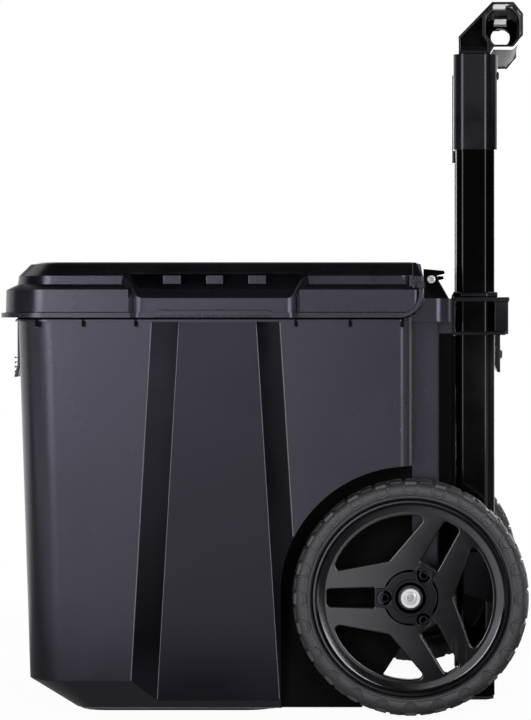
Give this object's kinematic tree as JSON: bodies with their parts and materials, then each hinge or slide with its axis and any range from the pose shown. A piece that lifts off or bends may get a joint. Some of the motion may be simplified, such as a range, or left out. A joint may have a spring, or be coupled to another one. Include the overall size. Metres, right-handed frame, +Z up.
{
  "type": "tennis ball machine",
  "caption": "Wheeled tennis ball machine: black moulded case with hinged lid, ball hopper and feed carousel, tilting wheel launcher behind a front port, spoked wheels and pull-out handle.",
  "frame": {"origin": "middle of the bounding box at ground level", "axes": "+Z up, -X towards the ball port, +Y to the right of the machine"},
  "size_m": [0.5708, 0.501, 0.7795],
  "materials": {
    "case_plastic": "grained black moulding",
    "lid_plastic": "grained black moulding",
    "trim_plastic": "smooth black moulding",
    "rubber": "matt black",
    "tyre": "matt black with tread",
    "wheel_plastic": "grained black moulding",
    "tube_paint": "gloss black",
    "inner_tube": "satin",
    "steel": "bright",
    "dark_steel": "blackened",
    "motor_can": "zinc grey",
    "plate_metal": "plain sheet",
    "board": "green laminate",
    "grip_plastic": "satin light grey",
    "button_plastic": "light grey",
    "rocker_plastic": "red"
  },
  "bodies": {
    "case": {"case_shell": "case_plastic", "rubber_feet": "rubber", "ball_port_bezel": "trim_plastic", "hinge_ears": "trim_plastic", "hinge_bolts": "steel", "latch_catches": "case_plastic", "handle_bracket": "trim_plastic", "bracket_sleeves": "trim_plastic", "bracket_bolts": "dark_steel", "lower_tube_clamps": "trim_plastic", "outer_tube_left": "tube_paint", "outer_tube_right": "tube_paint", "lock_collars": "trim_plastic", "collar_rivets": "dark_steel", "tube_feet": "rubber", "axle": "steel", "axle_bushes": "trim_plastic", "axle_caps": "steel", "hopper_tray": "case_plastic", "drop_chute": "trim_plastic", "feed_motor": "motor_can", "oscillation_motor": "motor_can", "battery_pack": "case_plastic", "control_board": "board", "board_standoffs": "steel", "control_panel": "trim_plastic", "charge_socket": "steel"},
    "lid": {"lid_shell": "lid_plastic", "lid_hinge_leaves": "lid_plastic", "lid_seal": "rubber", "latch_pins": "steel"},
    "left_latch": {"latch_left": "trim_plastic"},
    "right_latch": {"latch_right": "trim_plastic"},
    "handle": {"inner_tubes": "inner_tube", "tube_glides": "trim_plastic", "handle_elbow_left": "trim_plastic", "handle_elbow_right": "trim_plastic", "grip": "grip_plastic"},
    "handle_button": {"release_button": "button_plastic"},
    "left_wheel": {"wheel_rim_left": "wheel_plastic", "tyre_left": "tyre", "hub_plate_left": "wheel_plastic", "hub_screws_left": "dark_steel"},
    "right_wheel": {"wheel_rim_right": "wheel_plastic", "tyre_right": "tyre", "hub_plate_right": "wheel_plastic", "hub_screws_right": "dark_steel"},
    "carousel": {"feed_carousel": "case_plastic"},
    "turntable": {"launcher_turntable": "trim_plastic", "tilt_motor": "motor_can"},
    "launcher": {"launcher_plate": "plate_metal", "throw_motors": "motor_can", "ball_guide": "trim_plastic"},
    "left_thrower": {"throw_wheel_left": "wheel_plastic", "throw_tread_left": "rubber"},
    "right_thrower": {"throw_wheel_right": "wheel_plastic", "throw_tread_right": "rubber"},
    "speed_dial": {"speed_knob": "trim_plastic"},
    "feed_dial": {"feed_knob": "trim_plastic"},
    "power_switch": {"power_rocker": "rocker_plastic"}
  },
  "joints": [
    {"name": "lid_hinge", "type": "hinge", "parent": "case", "child": "lid", "pos_m": [0.18038, 0, 0.469], "axis": [0, 1, 0], "range_deg": [0, 90]},
    {"name": "left_latch_pivot", "type": "hinge", "parent": "lid", "child": "left_latch", "pos_m": [-0.27287, -0.13, 0.437], "axis": [0, 1, 0], "range_deg": [0, 75]},
    {"name": "right_latch_pivot", "type": "hinge", "parent": "lid", "child": "right_latch", "pos_m": [-0.27287, 0.13, 0.437], "axis": [0, 1, 0], "range_deg": [0, 75]},
    {"name": "handle_slide", "type": "slide", "parent": "case", "child": "handle", "axis": [0, 0, 1], "range_m": [0, 0.35]},
    {"name": "release_button_press", "type": "slide", "parent": "handle", "child": "handle_button", "axis": [0, 0, -1], "range_m": [0, 0.005], "stiffness_N_per_m": 600},
    {"name": "left_wheel_spin", "type": "hinge", "parent": "case", "child": "left_wheel", "pos_m": [0.15837, -0.223, 0.127], "axis": [0, 1, 0], "continuous": true},
    {"name": "right_wheel_spin", "type": "hinge", "parent": "case", "child": "right_wheel", "pos_m": [0.15837, 0.223, 0.127], "axis": [0, 1, 0], "continuous": true},
    {"name": "carousel_spin", "type": "hinge", "parent": "case", "child": "carousel", "pos_m": [0.00287, 0, 0.28], "axis": [0, 0, 1], "continuous": true},
    {"name": "launcher_turn", "type": "hinge", "parent": "case", "child": "turntable", "pos_m": [-0.14012, 0, 0.034], "axis": [0, 0, 1], "range_deg": [-10, 10]},
    {"name": "launcher_tilt", "type": "hinge", "parent": "turntable", "child": "launcher", "pos_m": [-0.14012, 0, 0.105], "axis": [0, 1, 0], "range_deg": [0, 30]},
    {"name": "left_thrower_spin", "type": "hinge", "parent": "launcher", "child": "left_thrower", "pos_m": [-0.15013, -0.101, 0.1675], "axis": [0, 0, 1], "continuous": true},
    {"name": "right_thrower_spin", "type": "hinge", "parent": "launcher", "child": "right_thrower", "pos_m": [-0.15013, 0.101, 0.1675], "axis": [0, 0, 1], "continuous": true},
    {"name": "speed_dial_turn", "type": "hinge", "parent": "case", "child": "speed_dial", "pos_m": [0.20287, -0.048, 0.319], "axis": [1, 0, 0], "range_deg": [-135, 135]},
    {"name": "feed_dial_turn", "type": "hinge", "parent": "case", "child": "feed_dial", "pos_m": [0.20287, 0.048, 0.319], "axis": [1, 0, 0], "range_deg": [-135, 135]},
    {"name": "power_switch_rock", "type": "hinge", "parent": "case", "child": "power_switch", "pos_m": [0.20688, 0.048, 0.275], "axis": [0, 1, 0], "range_deg": [-8, 8]}
  ]
}
